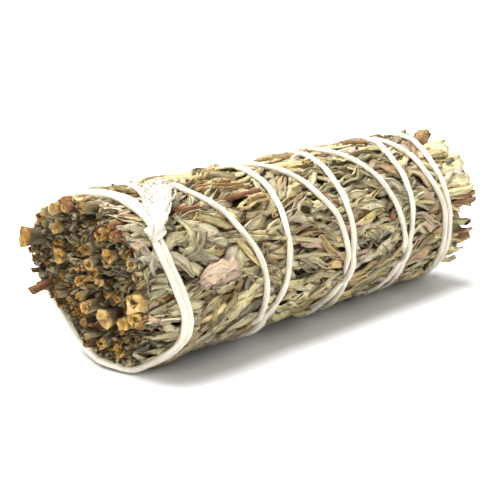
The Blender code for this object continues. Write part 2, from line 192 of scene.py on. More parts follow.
def treeOf(spots, radius):
    # finds the nearest of the spots, which start with (x, turn), all taken at one radius
    tree = kdtree.KDTree(len(spots))
    for i, spot in enumerate(spots):
        tree.insert(place(spot[0], spot[1], radius) / mm, i)
    tree.balance()
    return tree


def stringPlaces():
    # (x, turn, radius) along the run. The way back passes over the way out in long low humps.
    even, back = smoothRoute(stringRun, string["step"]), string["turnBack"]
    trees = [treeOf([p for p in even if p[1] <= back], string["measuredAt"]),
             treeOf([p for p in even if p[1] > back], string["measuredAt"])]
    clearance = string["diameter"] / 2 + string["floorGap"]
    places = []
    for x, turn in even:
        seat = bunchRadius(x) + string["seat"]
        apart = trees[1 if turn <= back else 0].find(place(x, turn, string["measuredAt"]) / mm)[2]
        need = sqrt(max((string["diameter"] + string["gap"]) ** 2 - apart**2, 0))
        if abs(turn - back) < string["level"]:
            need = 0
        over = floorLimit(turn, seat + string["overShare"] * need, clearance)
        under = min(floorLimit(turn, seat, clearance), over - need)
        places.append((x, turn, under if turn <= back else over))
    return places


def bandPlaces():
    start, spacing = string["bandStart"], string["bandSpacing"]
    loop = [p for p in buttBand if p[0] >= start]
    loop += [(turn + 360, x) for turn, x in buttBand if turn < start]
    route = []
    for lap, side in ((0, -0.5), (1, 0.5)):
        route += [(turn + 360 * lap, x + side * spacing) for turn, x in loop]
    route.append((start + 720, loop[0][1] + 0.5 * spacing))
    clearance = string["diameter"] / 2 + string["floorGap"]
    return [(x, turn, floorLimit(turn, bunchRadius(x) + string["seat"], clearance))
            for x, turn in smoothRoute(route, string["step"])]


runPlaces = stringPlaces()
bandOnly = bandPlaces()
stringSpots = runPlaces + bandOnly
nearString = treeOf(stringSpots, press["measuredAt"])


def bandX(turn):
    turn %= 360
    route = buttBand + [(360, buttBand[0][1])]
    for (a, xa), (b, xb) in zip(route, route[1:]):
        if a <= turn <= b:
            return xa + (xb - xa) * (turn - a) / (b - a)
    return buttBand[0][1]


def pressed(x, turn, radius, highest=bunch["highest"]):
    # leaves are pressed in under the string, flat where the bunch rests, and underneath the
    # butts they are cut back so that the band stays in sight
    spot, i, apart = nearString.find(place(x, turn, press["measuredAt"]) / mm)
    allowed = stringSpots[i][2] - press["depth"] + max(0, apart - press["halfWidth"])
    past = bandX(turn) - press["pastBand"] - x
    if past > 0:
        under = clamp((0.25 - cosOf(turn)) / 0.7)
        allowed = min(allowed, press["buttRadius"] - under * (press["cutBack"] + press["slope"] * past))
    return floorLimit(turn, min(radius, allowed, highest), bunch["floorGap"])


print("string route:", len(runPlaces), "and", len(bandOnly), "points")


# finishes
def tint(code):
    channels = [int(code[i:i + 2], 16) / 255 for i in (1, 3, 5)]
    linear = [c / 12.92 if c <= 0.04045 else ((c + 0.055) / 1.055) ** 2.4 for c in channels]
    return (*linear, 1)


class Wire:
    # a socket that can be used in sums, in the finish that it belongs to
    def __init__(self, finish, socket):
        self.finish, self.socket = finish, socket

    def sum(self, operation, a, b):
        return self.finish.node("ShaderNodeMath", {"operation": operation}, {0: a, 1: b})

    def __add__(self, other):
        return self.sum("ADD", self, other)

    def __sub__(self, other):
        return self.sum("SUBTRACT", self, other)

    def __mul__(self, other):
        return self.sum("MULTIPLY", self, other)

    def __rsub__(self, other):
        return self.sum("SUBTRACT", other, self)

    __radd__ = __add__
    __rmul__ = __mul__


class Finish:
    def __init__(self, name, preview):
        self.material = bpy.data.materials.new(name)
        self.material.use_nodes = True
        self.material.diffuse_color = preview
        self.nodes = self.material.node_tree.nodes
        self.links = self.material.node_tree.links
        self.shader = self.nodes["Principled BSDF"]

    def node(self, kind, settings, inputs, output=0):
        made = self.nodes.new(kind)
        for name, value in settings.items():
            if name == "stops":
                ramp = made.color_ramp
                while len(ramp.elements) < len(value):
                    ramp.elements.new(0.5)
                for element, (position, colour) in zip(ramp.elements, value):
                    element.position, element.color = position, colour
            else:
                setattr(made, name, value)
        self.fill(made, inputs)
        return Wire(self, made.outputs[output])

    def fill(self, node, inputs):
        for name, value in inputs.items():
            if isinstance(value, Wire):
                self.links.new(value.socket, node.inputs[name])
            else:
                node.inputs[name].default_value = value

    def mix(self, share, a, b, blend="MIX"):
        return self.node("ShaderNodeMix", {"data_type": "RGBA", "blend_type": blend},
                         {0: share, 6: a, 7: b}, 2)

    def shaded(self, colour, light):
        grey = self.node("ShaderNodeCombineColor", {}, {0: light, 1: light, 2: light})
        return self.mix(1, colour, grey, "MULTIPLY")

    def ramp(self, value, stops):
        stops = [(position, tint(code)) for position, code in stops]
        return self.node("ShaderNodeValToRGB", {"stops": stops}, {0: value})

    def band(self, value, low, high):
        # 0 below low, 1 above high, smooth between
        return self.node("ShaderNodeMapRange", {"interpolation_type": "SMOOTHSTEP"},
                         {0: value, 1: low, 2: high, 3: 0, 4: 1})

    def noise(self, where, scale, detail=3, rough=0.55, distort=0):
        return self.node("ShaderNodeTexNoise", {"noise_dimensions": "3D"},
                         {"Vector": where, "Scale": scale, "Detail": detail, "Roughness": rough,
                          "Distortion": distort})

    def stretched(self, where, factors):
        return self.node("ShaderNodeVectorMath", {"operation": "MULTIPLY"}, {0: where, 1: factors})

    def objectPlace(self):
        return self.node("ShaderNodeTexCoord", {}, {}, 3)

    def ownMap(self, name):
        return self.node("ShaderNodeUVMap", {"uv_map": name}, {})

    def traits(self, name):
        # the four numbers that each copy carries
        source = self.nodes.new("ShaderNodeAttribute")
        source.attribute_name = name
        parts = self.nodes.new("ShaderNodeSeparateColor")
        self.links.new(source.outputs["Color"], parts.inputs[0])
        return [Wire(self, parts.outputs[i]) for i in range(3)] + [Wire(self, source.outputs["Alpha"])]

    def done(self, colour, roughness, specular, height, strength, distance):
        normal = self.node("ShaderNodeBump", {}, {"Strength": strength, "Distance": distance,
                                                  "Height": height})
        self.fill(self.shader, {"Base Color": colour, "Roughness": roughness,
                                "Specular IOR Level": specular, "Normal": normal})
        return self.material


leafLook = {"preview": "#a79f80", "blotches": "#86623f", "dry": "#a87c4c", "ends": "#7a5c3c",
            # painted shade: the near-black brown that deeper leaves and leaf edges are darkened towards
            "paintedShade": "#2c2014",
            "tones": [(0, "#a39a78"), (0.16, "#bcb38c"), (0.34, "#cfc498"), (0.5, "#b5ab95"),
                      (0.64, "#dac991"), (0.78, "#c9ae7c"), (0.9, "#bfa48c"), (1, "#e0d5ab")]}


def leafFinish():
    finish = Finish("dried sage leaf", tint(leafLook["preview"]))
    tone, dry, along, paintedShade = finish.traits("traits")
    own, spot = finish.ownMap("leafMap"), finish.objectPlace()
    grooves = finish.noise(finish.stretched(own, (0.28, 3.6, 1)), 1, 3, 0.6, 0.4)
    veins = finish.noise(finish.stretched(own, (0.9, 1.6, 1)), 1.3, 4, 0.65)
    mottle = finish.noise(spot, 420, 4, 0.6)
    colour = finish.ramp(tone, leafLook["tones"])
    colour = finish.mix(finish.band(mottle, 0.5, 0.7) * 0.55, colour, tint(leafLook["blotches"]))
    colour = finish.mix(finish.band(dry, 0.84, 1) * 0.6, colour, tint(leafLook["dry"]))
    colour = finish.mix(finish.band(along, 0.86, 1) * 0.3, colour, tint(leafLook["ends"]))
    light = 1.04 + 0.66 * finish.band(grooves, 0.34, 0.6) + 0.7 * (veins - 0.5)
    # painted shade: each copy's fourth trait darkens it towards the near-black brown, for the shade on
    # deeper leaves and at leaf edges
    colour = finish.mix(paintedShade, finish.shaded(colour, light), tint(leafLook["paintedShade"]))
    return finish.done(colour, 0.62 + 0.25 * veins, 0.28, grooves + veins * 0.5, 1, 0.0005)


woodLook = {"preview": "#7c6748", "flecks": "#45301b", "pith": "#3a2410",
            "bark": [(0, "#4a3d2c"), (0.2, "#76664a"), (0.38, "#988765"), (0.52, "#b5a580"),
                     (0.66, "#9c6b4c"), (0.8, "#8f6437"), (0.9, "#a97c3e"), (1, "#d3c594")],
            "wood": [(0.22, "#3a2a14"), (0.42, "#80602a"), (0.6, "#bd9148"), (0.82, "#e6c98c")]}


def barkFinish():
    finish = Finish("sage bark and cut wood", tint(woodLook["preview"]))
    tone, dry, cut, heart = finish.traits("traits")
    own, spot = finish.ownMap("leafMap"), finish.objectPlace()
    ridges = finish.noise(finish.stretched(own, (0.35, 2.6, 1)), 1, 4, 0.65, 0.5)
    grain = finish.noise(spot, 900, 4, 0.7)
    flecks = finish.noise(spot, 350, 3, 0.6)
    bark = finish.shaded(finish.ramp(tone, woodLook["bark"]), 0.25 + 1.35 * ridges)
    bark = finish.mix(finish.band(flecks, 0.5, 0.68) * 0.75, bark, tint(woodLook["flecks"]))
    wood = finish.ramp(grain * 0.75 + dry * 0.4 - 0.05, woodLook["wood"])
    wood = finish.mix(finish.band(heart, 0, 0.5), tint(woodLook["pith"]), wood)
    colour = finish.mix(finish.band(cut, 0.45, 0.75), bark, wood)
    return finish.done(colour, 0.66 + 0.2 * grain, 0.25, ridges + grain * 0.5, 0.9, 0.0004)


def innerShadeFinish():
    # painted shade: the inner leaves are given a near-black brown for the shade deep inside the bunch,
    # seen between the outer leaves
    finish = Finish("inner leaves in painted shade", tint("#3a3226"))
    grain = finish.noise(finish.stretched(finish.objectPlace(), (0.35, 1, 1)), 1100, 5, 0.7)
    colour = finish.ramp(grain, [(0.3, "#1d150d"), (0.55, "#43362a"), (0.8, "#6b5a40")])
    return finish.done(colour, 0.9, 0.15, grain, 1, 0.0008)


cottonLook = {"preview": "#efeae0", "hollows": "#ded3b8", "fibres": "#faf5e4", "stains": "#e2d3ae"}


def cottonFinish():
    finish = Finish("undyed cotton", tint(cottonLook["preview"]))
    own, spot = finish.ownMap("leafMap"), finish.objectPlace()
    fibres = finish.noise(finish.stretched(own, (0.35, 7, 1)), 1, 4, 0.7, 0.6)
    soft = finish.noise(spot, 500, 3, 0.6)
    # painted shade and highlight: the string is painted darker where its fibres' bump is low and paler
    # where it is high, for the shade in the hollows between fibres
    colour = finish.mix(finish.band(fibres, 0.3, 0.6), tint(cottonLook["hollows"]),
                        tint(cottonLook["fibres"]))
    colour = finish.mix(finish.band(soft, 0.6, 0.8) * 0.4, colour, tint(cottonLook["stains"]))
    finish.fill(finish.shader, {"Sheen Weight": 0.35, "Sheen Roughness": 0.5})
    return finish.done(colour, 0.88, 0.15, fibres, 0.7, 0.0003)


leafPaint = leafFinish()
barkPaint = barkFinish()
innerShadePaint = innerShadeFinish()
cottonPaint = cottonFinish()
print("finishes made")


# modelling by hand
def mode(name):
    bpy.ops.object.mode_set(mode=name)


def startFresh():
    bpy.ops.object.select_all(action="DESELECT")


def selectAll():
    bpy.ops.mesh.select_all(action="SELECT")


def pick(obj, test):
    shape = bmesh.from_edit_mesh(obj.data)
    for vert in shape.verts:
        vert.select = test(vert)
    shape.select_flush(True)
    bmesh.update_edit_mesh(obj.data)


def roughen(offset, seed):
    bpy.ops.transform.vertex_random(offset=offset * mm, seed=seed)


def takePattern(obj, stem=False):
    # the finished shape as lists, in millimetres, with its own map: along and across it
    mesh = obj.data
    verts = [vert.co / mm for vert in mesh.vertices]
    faces = [tuple(face.vertices) for face in mesh.polygons]
    low, high = min(v.x for v in verts), max(v.x for v in verts)
    pattern = {"verts": verts, "faces": faces, "low": low, "high": high}
    if stem:
        reach = max(hypot(v.y, v.z) for v in verts)
        pattern["map"] = [(v.x, atan2(v.y, v.z) * reach) for v in verts]
    else:
        width = max(abs(v.y) for v in verts)
        layer = mesh.uv_layers.active.data
        drawn = {loop.vertex_index: layer[loop.index].uv.copy() for loop in mesh.loops}
        own = [drawn[i] for i in range(len(verts))]
        pattern["map"] = [(uv.x * (high - low), uv.y * 2 * width) for uv in own]
        # painted shade: how near each point lies to the leaf's long edges, used to darken the edges for
        # the gaps between leaves
        pattern["edge"] = [abs(2 * uv.y - 1) ** 3 for uv in own]
    bpy.data.objects.remove(obj)
    return pattern


def leafPattern(length, width, widths, section, crumple, seed, sway, lift, thickness=0.16):
    # a sheet at its size, drawn in column by column, folded row by row, then given its thickness
    startFresh()
    columns, rows = len(widths) - 1, len(section) - 1
    bpy.ops.mesh.primitive_grid_add(x_subdivisions=columns, y_subdivisions=rows, size=mm)
    obj = bpy.context.object
    obj.scale = (length, width, 1)
    bpy.ops.object.transform_apply()
    layer = obj.data.uv_layers.active.data
    across = {loop.vertex_index: layer[loop.index].uv.y for loop in obj.data.loops}
    mode("EDIT")
    for k, wide in enumerate(widths):
        x = (k / columns - 0.5) * length * mm
        pick(obj, lambda vert: abs(vert.co.x - x) < 0.05 * mm)
        bpy.ops.transform.resize(value=(1, wide, 1), center_override=(x, 0, 0))
        bpy.ops.transform.translate(value=(0, sway[k] * mm, lift[k] * mm))
    for row, (inward, rise) in enumerate(section):
        pick(obj, lambda vert: abs(across[vert.index] - row / rows) < 0.1)
        bpy.ops.transform.translate(value=(0, inward * width * mm, rise * width * mm))
    selectAll()
    roughen(crumple, seed)
    mode("OBJECT")
    thick = obj.modifiers.new("thickness", "SOLIDIFY")
    thick.thickness, thick.offset = thickness * mm, 0
    bpy.ops.object.modifier_apply(modifier=thick.name)
    return takePattern(obj)


blade = [0.45, 0.8, 0.96, 1, 0.97, 0.88, 0.68, 0.3]
strip = [0.7, 0.95, 1, 0.95, 1, 0.92, 0.8, 0.35]
wedge = [0.22, 0.3, 0.42, 0.6, 0.82, 1, 0.9, 0.4]
level = [0] * 8
flat = [(0, -0.12), (0, 0.05), (0, -0.04), (0, 0.04), (0, -0.14)]
ribbon = [(0.05, -0.3), (0.02, 0.08), (0, -0.07), (-0.02, 0.08), (-0.05, -0.3)]
folded = [(0.2, 0.42), (0.1, 0.2), (0, -0.04), (-0.1, 0.2), (-0.2, 0.42)]
rolled = [(0.3, 0.55), (-0.02, 0.3), (0, 0), (0.02, 0.3), (-0.3, 0.55)]
tucked = [(0.42, 0.16), (0.06, 0.2), (0, 0.1), (0, 0.02), (0, 0.1)]
leafRows = [  # length, width, widths, section, crumple, seed, sway sideways and lift from base to tip
    (11, 2.5, blade, ribbon, 0.08, 1,
     [0, 0.1, 0.25, 0.3, 0.25, 0.1, -0.2, -0.6], [0, 0.15, 0.25, 0.2, 0.1, 0, 0.15, 0.4]),
    (10, 2.9, blade, folded, 0.08, 2, level, [-0.2, 0, 0.2, 0.3, 0.25, 0.1, -0.1, -0.3]),
    (11.5, 2.4, strip, ribbon, 0.06, 3, [0, 0.2, 0.4, 0.5, 0.3, -0.1, -0.5, -0.8], level),
    (10.5, 3.9, wedge, flat, 0.16, 4, level, [0, 0, 0.1, 0.3, 0.35, 0.2, 0.1, 0.3]),
    (12.5, 1.6, strip, ribbon, 0.06, 5,
     [0, 0.3, 0.5, 0.5, 0.3, 0, -0.4, -0.9], [0, 0.1, 0.2, 0.2, 0.1, 0.1, 0.2, 0.3]),
    (9, 3.3, blade, tucked, 0.24, 6,
     [0, -0.2, -0.2, 0.1, 0.3, 0.2, 0, -0.2], [0, 0.35, 0.1, 0.4, 0.1, 0.4, 0.1, 0.3]),
    (10.5, 2, strip, ribbon, 0.06, 7,
     [0, 0.05, 0.2, 0.6, 1.2, 2.1, 3.2, 4.6], [0, 0.1, 0.1, 0.1, 0.1, 0.1, 0.2, 0.3]),
    (12, 1.9, strip, ribbon, 0.06, 8,
     [0, 0.8, 1.1, 0.5, -0.5, -1.1, -0.8, 0.1], [0.1, 0.2, 0.1, 0, 0.1, 0.2, 0.2, 0.1]),
    (8.5, 2.6, blade, tucked, 0.14, 9,
     [0, 0.1, 0.1, 0, -0.2, -0.5, -0.9, -1.4], [0, 0.1, 0.3, 0.4, 0.3, 0.1, -0.1, -0.2]),
    (9.5, 2.7, strip, rolled, 0.08, 10,
     [0, 0.1, 0.2, 0.1, 0, 0.1, 0.3, 0.6], [0, 0.1, 0.2, 0.25, 0.2, 0.1, 0, 0]),
    (8, 3, wedge, ribbon, 0.12, 12,
     [0, 0, 0.1, 0.2, 0.1, -0.1, -0.3, -0.6], [0, 0.1, 0.2, 0.3, 0.4, 0.3, 0.2, 0.4]),
]
leafPatterns = [leafPattern(*row) for row in leafRows]
broadLeaf = leafPattern(
    8.6, 7, [0.3, 0.7, 1, 0.8, 1.05, 0.8, 0.95, 0.45],
    [(0.05, -0.05), (0, 0.05), (0, 0.02), (0, 0.06), (-0.05, -0.03)], 0.5, 11,
    [0, 0.3, -0.2, 0.4, 0.1, -0.4, 0.3, 0], [-0.2, 0.1, 0.3, 0.2, 0.35, 0.2, 0.1, -0.2], 0.25)
broadLeaf["map"] = [(u * 0.6, v * 0.4) for u, v in broadLeaf["map"]]
print("leaf patterns:", len(leafPatterns) + 1, "with", len(leafPatterns[0]["faces"]), "faces each")


def stemPattern(sides, radius, wood, hollow, rough, splinter, seed, peel, steps):
    # a twig pushed out step by step from a round start, with a splintered cut at its -X end
    startFresh()
    bpy.ops.mesh.primitive_circle_add(vertices=sides, radius=radius * mm, fill_type="NGON",
                                      rotation=(0, -pi / 2, 0))
    obj = bpy.context.object
    bpy.ops.object.transform_apply()
    mode("EDIT")
    selectAll()
    for push, side, rise, swell in steps:
        bpy.ops.mesh.extrude_region_move(
            TRANSFORM_OT_translate={"value": (-push * mm, side * mm, rise * mm)})
        bpy.ops.transform.resize(value=(1, swell, swell))
    mode("OBJECT")
    endX = min(v.co.x for v in obj.data.vertices)
    ring = [v.co for v in obj.data.vertices if v.co.x < endX + 0.01 * mm]
    middle = sum(ring, Vector()) / len(ring)
    outer = (ring[0] - middle).length / mm
    mode("EDIT")
    for share, depth in ((0.16, 0), (wood, -hollow * 0.2), (0.2, -hollow)):
        bpy.ops.mesh.inset(thickness=outer * share * mm, depth=depth * mm)
    selectAll()
    bpy.ops.mesh.normals_make_consistent(inside=False)  # before the cut is splintered
    mode("OBJECT")
    cutX = endX + (hollow * 1.3 + 0.05) * mm
    away = [hypot(v.co.y - middle.y, v.co.z - middle.z) / mm / outer for v in obj.data.vertices]
    onCut = [v.co.x < cutX for v in obj.data.vertices]
    mode("EDIT")
    pick(obj, lambda vert: vert.co.x < cutX)
    roughen(splinter, seed)
    selectAll()
    roughen(rough, seed + 50)
    mode("OBJECT")
    pattern = takePattern(obj, stem=True)
    pattern["cut"] = [(1 if far < 0.93 else peel) if on else 0 for on, far in zip(onCut, away)]
    pattern["heart"] = [clamp((far - 0.1) / 0.6) for far in away]
    return pattern


stemRows = [  # sides, radius, wood, hollow, rough, splinter, seed, peel, steps (push, side, rise, swell)
    (8, 0.9, 0.4, 0.1, 0.1, 0.3, 21, 0.4,
     [(3, 0.1, 0, 1), (3, 0, 0.1, 1.05), (2.9, -0.1, 0.1, 1.02), (1, 0, 0, 1.06)]),
    (8, 0.95, 0.25, 0.5, 0.12, 0.45, 22, 1,
     [(3.2, 0, 0.2, 0.95), (2.8, 0.15, 0, 1.08), (2.6, 0.1, -0.1, 1), (1.3, -0.1, 0.1, 1.12)]),
    (8, 0.85, 0.45, 0.1, 0.17, 0.6, 23, 1,
     [(2.6, 0.2, -0.1, 1.1), (3.1, -0.1, 0.1, 0.9), (2.9, 0.2, 0.2, 1.12), (1.3, 0.1, 0, 0.95)]),
    (9, 0.92, 0.15, 0.7, 0.09, 0.24, 24, 0.2,
     [(3, 0, 0, 1), (3, 0.1, 0.1, 1), (2, 0, 0.1, 1.04), (2, 0, 0, 1)]),
    (6, 0.8, 0.35, 0.1, 0.18, 0.5, 25, 1,
     [(3.4, 0.3, 0.1, 0.9), (3, 0.2, 0, 0.8), (2.4, 0.2, 0.2, 0.75), (1.2, 0.1, 0.1, 0.6)]),
]
stemPatterns = [stemPattern(*row) for row in stemRows]
stemWidth = 1.9


def budPattern():
    # a small round bud, a little drawn out
    startFresh()
    bpy.ops.mesh.primitive_uv_sphere_add(segments=8, ring_count=6, radius=1 * mm)
    obj = bpy.context.object
    mode("EDIT")
    selectAll()
    bpy.ops.transform.resize(value=(1.25, 1, 0.85))
    pick(obj, lambda vert: vert.co.x > 0.6 * mm)
    bpy.ops.transform.translate(value=(0.35 * mm, 0, 0))
    mode("OBJECT")
    pattern = takePattern(obj, stem=True)
    pattern["cut"], pattern["heart"] = [0] * len(pattern["verts"]), [1] * len(pattern["verts"])
    return pattern


bud = budPattern()
print("stem patterns:", len(stemPatterns), "and a bud")


class Pile:
    # copies of patterns, each with its own mesh points, gathered into one piece
    def __init__(self):
        self.verts, self.faces, self.map, self.traits = [], [], [], []

    def add(self, pattern, mover, tone, dry, paintedShade, rng):
        start = len(self.verts)
        shiftU, shiftV = rng.uniform(0, 400), rng.uniform(0, 400)
        span = max(pattern["high"] - pattern["low"], 1e-6)
        self.verts += [mover(co) for co in pattern["verts"]]
        self.faces += [tuple(start + i for i in face) for face in pattern["faces"]]
        self.map += [(u + shiftU, v + shiftV) for u, v in pattern["map"]]
        if "cut" in pattern:
            self.traits += [(tone, dry, cut, heart)
                            for cut, heart in zip(pattern["cut"], pattern["heart"])]
        else:
            # painted shade: a leaf copy's fourth trait is its painted shade, raised towards its long
            # edges
            self.traits += [(tone, dry, (co.x - pattern["low"]) / span, min(paintedShade + 0.38 * edge, 1))
                            for co, edge in zip(pattern["verts"], pattern["edge"])]

    def build(self, name, paint):
        low, high = [Vector(corner) for corner in cadBox]
        spare = Vector((0.03, 0.03, 0.03)) * mm  # nothing passes the box of the solids
        low, high = low + spare, high - spare
        self.verts = [Vector(max(min(c, b), a) for c, a, b in zip(co, low, high)) for co in self.verts]
        mesh = bpy.data.meshes.new(name)
        mesh.from_pydata(self.verts, [], self.faces)
        layer = mesh.uv_layers.new(name="leafMap")
        corners = [0] * len(mesh.loops)
        mesh.loops.foreach_get("vertex_index", corners)
        layer.data.foreach_set("uv", [c for i in corners for c in self.map[i]])
        traits = mesh.color_attributes.new("traits", "FLOAT_COLOR", "POINT")
        traits.data.foreach_set("color", [c for four in self.traits for c in four])
        mesh.polygons.foreach_set("use_smooth", [True] * len(mesh.polygons))
        mesh.update()
        mesh.materials.append(paint)
        obj = bpy.data.objects.new(name, mesh)
        bpy.context.scene.collection.objects.link(obj)
        return obj


def layOnBunch(x0, turn0, radius0, angle, roll, pitch, stretch, widen, bow=0, wave=0, phase=0):
    # bends a copy round the bunch: angle is its heading from +X towards greater turn, bow and
    # wave bend it sideways
    ca, sa, cr, sr = cosOf(angle), sinOf(angle), cosOf(roll), sinOf(roll)
    slope = tan(radians(pitch))

    def mover(co):
        u, v, w = co.x * stretch, -co.y * widen, co.z * widen
        v, w = v * cr - w * sr, v * sr + w * cr
        v += bow * u * u + wave * sin(0.95 * u + phase)
        w += u * slope + 0.5 * wave * sin(1.3 * u + 2 * phase)
        x = x0 + u * ca - v * sa
        turn = turn0 + degrees((u * sa + v * ca) / bunch["wrapRadius"])
        ragged = 0.7 + 0.8 * ripple(turn * 0.12, radius0 * 3, 4)
        x = max(x, faceX(turn, bunch["leafRadius"]) + ragged)
        return place(x, turn, pressed(x, turn, radius0 + w))
    return mover


def standFree(start, way, roll, stretch, widen, reach):
    # a copy with no bend: its +X runs along way, kept inside the bunch's round
    axis = way.normalized()
    side = Vector((0, 0, 1)).cross(axis)
    side = side.normalized() if side.length > 1e-3 else Vector((0, 1, 0))
    up = axis.cross(side)
    cr, sr = cosOf(roll), sinOf(roll)

    def mover(co):
        v, w = co.y * widen * cr - co.z * widen * sr, co.y * widen * sr + co.z * widen * cr
        spot = start + axis * co.x * stretch + side * v + up * w
        away = Vector((spot.y, spot.z))
        turn = turnOf(spot.y, spot.z)
        if away.length > bunch["looseRadius"]:
            away = away.normalized() * pressed(spot.x, turn, away.length, reach)
        away *= drawnIn(spot.x, turn)
        height = max(away.y + bunch["axisHeight"], bunch["floorGap"])
        return Vector((clamp(spot.x, bunch["lowX"], bunch["highX"]), away.x, height)) * mm
    return mover


def standStem(pile, rng, pattern, end, way, roll, stretch, widen, reach, tone, dry):
    # a stem with its -X end at the given place, running along way
    start = end - way.normalized() * pattern["low"] * stretch
    pile.add(pattern, standFree(start, way, roll, stretch, widen, reach), tone, dry, 0, rng)


def fitted(piece, nodes):
    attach(piece, "root")
    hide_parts(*nodes)
    print(piece.name, len(piece.data.polygons), "faces")


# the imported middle
packed = {"radius": 14.3, "from": -40.5, "to": 41.5, "rings": 48, "sides": 72, "relief": 0.9,
          "floorGap": 0.5, "endRings": 6, "endStep": 2.1}


def makePackedMiddle():
    startFresh()
    low, high = packed["from"], packed["to"]
    bpy.ops.mesh.primitive_cylinder_add(
        vertices=packed["sides"], radius=packed["radius"] * mm, depth=(high - low) * mm,
        location=(0.5 * (high + low) * mm, 0, bunch["axisHeight"] * mm),
        rotation=(0, pi / 2, 0))
    obj = bpy.context.object
    obj.name = "packedMiddle"
    bpy.ops.object.transform_apply()
    mode("EDIT")
    for k in range(1, packed["rings"]):
        x = low + (high - low) * k / packed["rings"]
        selectAll()
        bpy.ops.mesh.bisect(plane_co=(x * mm, 0, 0), plane_no=(1, 0, 0))
    for end in (-1, 1):
        bpy.ops.mesh.select_all(action="DESELECT")
        shape = bmesh.from_edit_mesh(obj.data)
        for face in shape.faces:
            face.select = face.normal.x * end > 0.9
        bmesh.update_edit_mesh(obj.data)
        for k in range(packed["endRings"]):
            bpy.ops.mesh.inset(thickness=packed["endStep"] * mm, depth=0)
    shape = bmesh.from_edit_mesh(obj.data)
    for vert in shape.verts:  # leaf edges and hollows, pushed in or out from the axis
        co = vert.co / mm
        out = Vector((0, co.y, co.z - bunch["axisHeight"]))
        rough = noise.fractal(Vector((co.x * 0.28, co.y * 0.75, co.z * 0.75)), 1, 2, 4)
        if out.length > 1:
            turn = turnOf(out.y, out.z)
            radius = floorLimit(turn, out.length + packed["relief"] * rough, packed["floorGap"])
            out = out.normalized() * radius * drawnIn(co.x, turn)
        x = co.x + packed["relief"] * 1.4 * ripple(co.y * 0.6, co.z * 0.6, co.x)
        vert.co = Vector((x, out.y, out.z + bunch["axisHeight"])) * mm
    bmesh.update_edit_mesh(obj.data)
    mode("OBJECT")
    bpy.ops.object.shade_smooth()
    # painted shade: the middle carries the dark inner finish
    obj.data.materials.append(innerShadePaint)
    return obj


allInner = [f"inner_sprig_{k:02d}" for k in range(1, 7)]
fitted(makePackedMiddle(), allInner)


# leaves pressed round the bunch, sprig by sprig
leaves = {"from": -46, "to": 43, "spread": 17, "drift": 36, "slant": -48, "curl": 75,
          "tries": 9000, "lengthApart": 6.4, "widthApart": 1.45, "loose": 9,
          "layers": [(60, 2.2, 1.6, 0.7), (75, 1.45, 0.95, 0.28)]}  # count, lowest and highest seat, painted shade


def heading(x, turn, rng):
    # how the leaves lie: mostly along the bunch, slanting and curling near the knot
    turn %= 360
    drift = leaves["drift"] * ripple(x / 12, turn / 30, 3.7)
    slanted = bell(x, -27, 9) * bell(turn, 112, 30)
    curled = bell(x, -37, 7) * bell(turn, 64, 16)
    drift += leaves["slant"] * slanted
    drift += leaves["curl"] * curled * ripple(x / 4, turn / 9, 9.1)
    return drift + rng.gauss(0, leaves["spread"] * (1 + 1.2 * curled))


def sideBySide():
    # places for the top leaves, none closer to another than its length and width allow
    rng = random.Random(390)
    spots = []
    for n in range(leaves["tries"]):
        x, turn = rng.uniform(leaves["from"], leaves["to"]), rng.uniform(0, 360)
        angle = heading(x, turn, rng)
        ca, sa = cosOf(angle), sinOf(angle)
        for otherX, otherTurn, otherAngle in spots:
            dx = otherX - x
            if abs(dx) > leaves["lengthApart"]:
                continue
            dt = radians(turnPast(otherTurn, turn)) * bunch["leafRadius"]
            along, across = dx * ca + dt * sa, dt * ca - dx * sa
            if (along / leaves["lengthApart"]) ** 2 + (across / leaves["widthApart"]) ** 2 < 1:
                break
        else:
            spots.append((x, turn, angle))
    return spots


topSpots = sideBySide()
print("top leaves:", len(topSpots))


def layLeaves(index):
    rng = random.Random(400 + index)
    pile = Pile()

    def leaf(x, turn, angle, lower, roll, stretch, widen, paintedShadeShare):
        if x < bandX(turn) - 2.5 and 100 < turn % 360 < 262:
            return
        mover = layOnBunch(x, turn, bunchRadius(x) - lower, angle + rng.choice((0, 180)), roll,
                           rng.uniform(-3, 3), stretch, widen, rng.gauss(0, 0.02),
                           rng.uniform(0, 0.4), rng.uniform(0, 6.3))
        tone = clamp(rng.gauss(0.47, 0.27))
        pile.add(rng.choice(leafPatterns), mover, tone, rng.random(), paintedShadeShare + rng.uniform(0, 0.12), rng)

    def somewhere(n, count):
        x = leaves["from"] + (leaves["to"] - leaves["from"]) * (n + rng.random()) / count
        turn = rng.uniform(seamTurn(index, x), seamTurn(index + 1, x))
        return x, turn, heading(x, turn, rng)

    # painted shade: each layer lies lower and is painted darker, for the shade under the leaves above it
    for count, low, high, paintedShadeShare in leaves["layers"]:
        for n in range(count):
            leaf(*somewhere(n, count), rng.uniform(high, low), rng.gauss(0, 20),
                 rng.uniform(0.7, 1.1), rng.uniform(0.8, 1.25), paintedShadeShare)
    for x, turn, angle in topSpots:
        if sprigAt(turn, x) == index:
            leaf(x, turn, angle, rng.uniform(0.05, 0.85), rng.gauss(0, 16),
                 rng.uniform(0.8, 1.2), rng.uniform(0.65, 1.1), 0)
    for n in range(leaves["loose"]):
        x, turn, angle = somewhere(n, leaves["loose"])
        leaf(x, turn, angle + rng.uniform(-45, 45), rng.uniform(-0.25, 0.2), rng.gauss(0, 25),
             rng.uniform(0.45, 0.8), rng.uniform(0.6, 0.9), 0)
    return pile


def sprigAt(turn, x):
    for k in range(bunch["sprigs"] * 2 + 1):
        if seamTurn(k - 1, x) <= turn < seamTurn(k, x):
            return (k - 1) % bunch["sprigs"]
    return 0


features = random.Random(77)
leafPiles = [layLeaves(k) for k in range(bunch["sprigs"])]


def addLeafAt(pattern, x, turn, lower, angle, roll, stretch, widen, tone, dry, paintedShade=0, pitch=0):
    mover = layOnBunch(x, turn, bunchRadius(x) - lower, angle, roll, pitch, stretch, widen)
    leafPiles[sprigAt(turn % 360, x)].add(pattern, mover, tone, dry, paintedShade, features)
